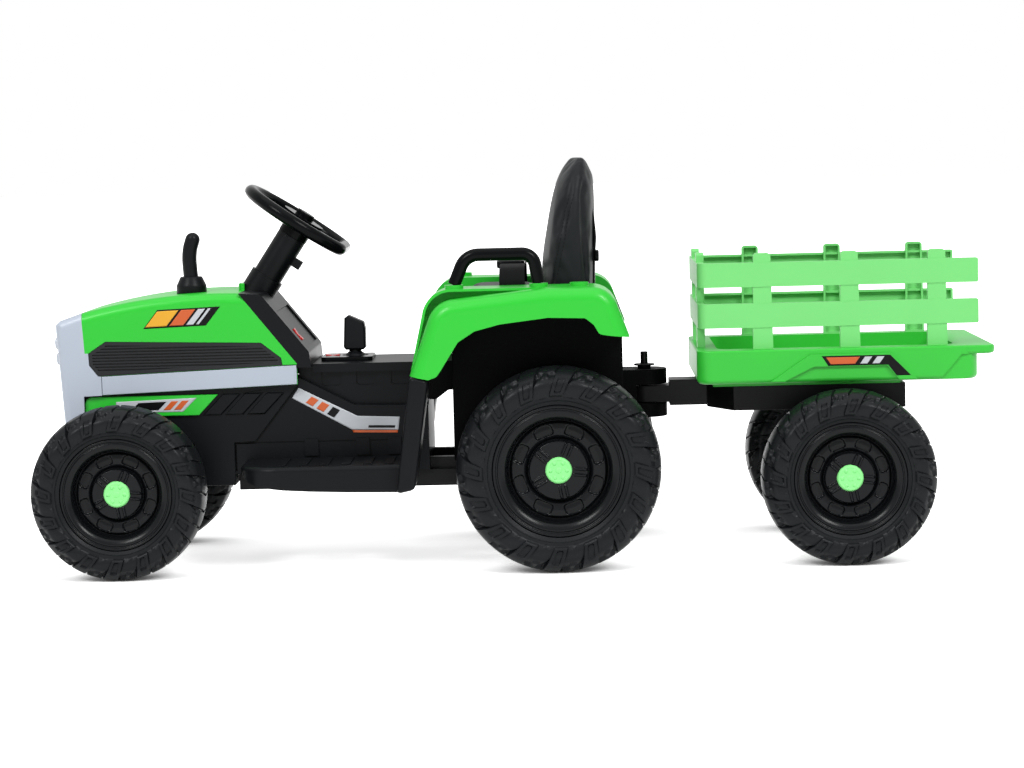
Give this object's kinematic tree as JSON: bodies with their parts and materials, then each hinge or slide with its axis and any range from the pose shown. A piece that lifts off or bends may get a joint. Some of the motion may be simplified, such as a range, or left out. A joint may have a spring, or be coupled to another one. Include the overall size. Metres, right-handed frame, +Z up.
{
  "type": "ride-on tractor with trailer",
  "caption": "Child's ride-on tractor in green and black with lugged wheels, sloped bonnet, padded seat and a hitched tub trailer with slatted sides.",
  "frame": {"origin": "on the ground below the middle of the overall box", "axes": "+X towards the trailer, +Y to the driver's right, +Z up"},
  "size_m": [1.346, 0.47, 0.5705],
  "materials": {
    "green_plastic": "glossy moulded",
    "mint_plastic": "satin moulded",
    "black_plastic": "fine textured",
    "gloss_black": "glossy moulded",
    "tyre_black": "matt moulded tread",
    "silver_plastic": "satin silver grey",
    "red_plastic": "glossy",
    "lamp_lens": "ribbed clear lens over grey",
    "steel": "bright drawn",
    "black_steel": "black powder coat",
    "seat_cover": "soft grained",
    "webbing": "woven"
  },
  "bodies": {
    "tractor": {"hood": "green_plastic", "nose": "silver_plastic", "grille_insert": "black_plastic", "headlamps": "lamp_lens", "side_louvres": "black_plastic", "side_strips": "silver_plastic", "lower_panels": "green_plastic", "front_shroud": "black_plastic", "exhaust_stack": "gloss_black", "dashboard": "black_plastic", "steering_column": "black_plastic", "front_axle_beam": "steel", "centre_tub": "black_plastic", "console_plate": "gloss_black", "step_pillars": "black_plastic", "rear_body": "black_plastic", "chassis_frame": "black_steel", "fender_left": "green_plastic", "fender_right": "green_plastic", "armrest": "black_plastic", "seat_cushion": "seat_cover", "backrest": "seat_cover", "lap_belt": "webbing", "drive_gearboxes": "black_plastic", "battery": "black_plastic", "rear_axle": "steel"},
    "steering": {"steering_wheel": "black_plastic", "steering_shaft": "steel"},
    "horn": {"horn_button": "gloss_black"},
    "tie_rod": {"tie_rod": "steel"},
    "hitch_pin": {"hitch_pin": "black_plastic"},
    "pedal": {"accelerator_pedal": "black_plastic"},
    "selector": {"selector_lever": "gloss_black"},
    "power_switch": {"dash_switch": "red_plastic"},
    "speed_switch": {"console_switch": "red_plastic"},
    "trailer": {"trailer_bed": "green_plastic", "trailer_side_fences": "mint_plastic", "trailer_fence_front": "mint_plastic", "trailer_frame": "black_plastic", "trailer_axle": "steel"},
    "knuckle_left": {"knuckle_left": "steel"},
    "front_wheel_left": {"front_tyre_left": "tyre_black", "front_rim_left": "gloss_black", "front_hub_cap_left": "mint_plastic"},
    "rear_wheel_left": {"rear_tyre_left": "tyre_black", "rear_rim_left": "gloss_black", "rear_hub_cap_left": "mint_plastic"},
    "trailer_wheel_left": {"trailer_tyre_left": "tyre_black", "trailer_rim_left": "gloss_black", "trailer_hub_cap_left": "mint_plastic"},
    "knuckle_right": {"knuckle_right": "steel"},
    "front_wheel_right": {"front_tyre_right": "tyre_black", "front_rim_right": "gloss_black", "front_hub_cap_right": "mint_plastic"},
    "rear_wheel_right": {"rear_tyre_right": "tyre_black", "rear_rim_right": "gloss_black", "rear_hub_cap_right": "mint_plastic"},
    "trailer_wheel_right": {"trailer_tyre_right": "tyre_black", "trailer_rim_right": "gloss_black", "trailer_hub_cap_right": "mint_plastic"}
  },
  "joints": [
    {"name": "steering_turn", "type": "hinge", "parent": "tractor", "child": "steering", "pos_m": [-0.3025, 0, 0.487], "axis": [0.5534, 0, 0.8329], "range_deg": [-40, 40]},
    {"name": "horn_press", "type": "slide", "parent": "steering", "child": "horn", "axis": [-0.5534, 0, -0.8329], "range_m": [0, 0.002], "stiffness_N_per_m": 600, "springref_m": -0.0005},
    {"name": "tie_rod_slide", "type": "slide", "parent": "tractor", "child": "tie_rod", "axis": [0, 1, 0], "range_m": [-0.0142, 0.0142]},
    {"name": "knuckle_turn_left", "type": "hinge", "parent": "tractor", "child": "knuckle_left", "pos_m": [-0.5515, -0.112, 0.1215], "axis": [0, 0, 1], "range_deg": [-20.5, 20.5]},
    {"name": "front_wheel_spin_left", "type": "hinge", "parent": "knuckle_left", "child": "front_wheel_left", "pos_m": [-0.5515, -0.179, 0.1215], "axis": [0, 1, 0], "continuous": true},
    {"name": "rear_wheel_spin_left", "type": "hinge", "parent": "tractor", "child": "rear_wheel_left", "pos_m": [0.0625, -0.187, 0.1425], "axis": [0, 1, 0], "continuous": true},
    {"name": "trailer_wheel_spin_left", "type": "hinge", "parent": "trailer", "child": "trailer_wheel_left", "pos_m": [0.4645, -0.179, 0.1215], "axis": [0, 1, 0], "continuous": true},
    {"name": "knuckle_turn_right", "type": "hinge", "parent": "tractor", "child": "knuckle_right", "pos_m": [-0.5515, 0.112, 0.1215], "axis": [0, 0, 1], "range_deg": [-20.5, 20.5]},
    {"name": "front_wheel_spin_right", "type": "hinge", "parent": "knuckle_right", "child": "front_wheel_right", "pos_m": [-0.5515, 0.179, 0.1215], "axis": [0, 1, 0], "continuous": true},
    {"name": "rear_wheel_spin_right", "type": "hinge", "parent": "tractor", "child": "rear_wheel_right", "pos_m": [0.0625, 0.187, 0.1425], "axis": [0, 1, 0], "continuous": true},
    {"name": "trailer_wheel_spin_right", "type": "hinge", "parent": "trailer", "child": "trailer_wheel_right", "pos_m": [0.4645, 0.179, 0.1215], "axis": [0, 1, 0], "continuous": true},
    {"name": "trailer_yaw", "type": "hinge", "parent": "tractor", "child": "trailer", "pos_m": [0.1885, 0, 0.228], "axis": [0, 0, 1], "range_deg": [-25, 25]},
    {"name": "hitch_pin_lift", "type": "slide", "parent": "tractor", "child": "hitch_pin", "axis": [0, 0, 1], "range_m": [0, 0.08]},
    {"name": "pedal_press", "type": "hinge", "parent": "tractor", "child": "pedal", "pos_m": [-0.2455, 0.149, 0.1605], "axis": [0, -1, 0], "range_deg": [0, 15], "stiffness_Nm_per_rad": 1.2, "springref_deg": -5.73},
    {"name": "selector_tilt", "type": "hinge", "parent": "tractor", "child": "selector", "pos_m": [-0.2295, 0, 0.282], "axis": [0, 1, 0], "range_deg": [-12, 12]},
    {"name": "power_switch_rock", "type": "hinge", "parent": "tractor", "child": "power_switch", "pos_m": [-0.30988, -0.045, 0.32598], "axis": [0, 1, 0], "range_deg": [-7, 7]},
    {"name": "speed_switch_rock", "type": "hinge", "parent": "tractor", "child": "speed_switch", "pos_m": [-0.262, 0, 0.29], "axis": [0, 1, 0], "range_deg": [-7, 7]}
  ],
  "couplings": [
    {"joint": "knuckle_turn_left", "follows": "steering_turn", "ratio": 0.5},
    {"joint": "knuckle_turn_right", "follows": "steering_turn", "ratio": 0.5},
    {"joint": "tie_rod_slide", "follows": "steering_turn", "m_per_rad": 0.02}
  ]
}
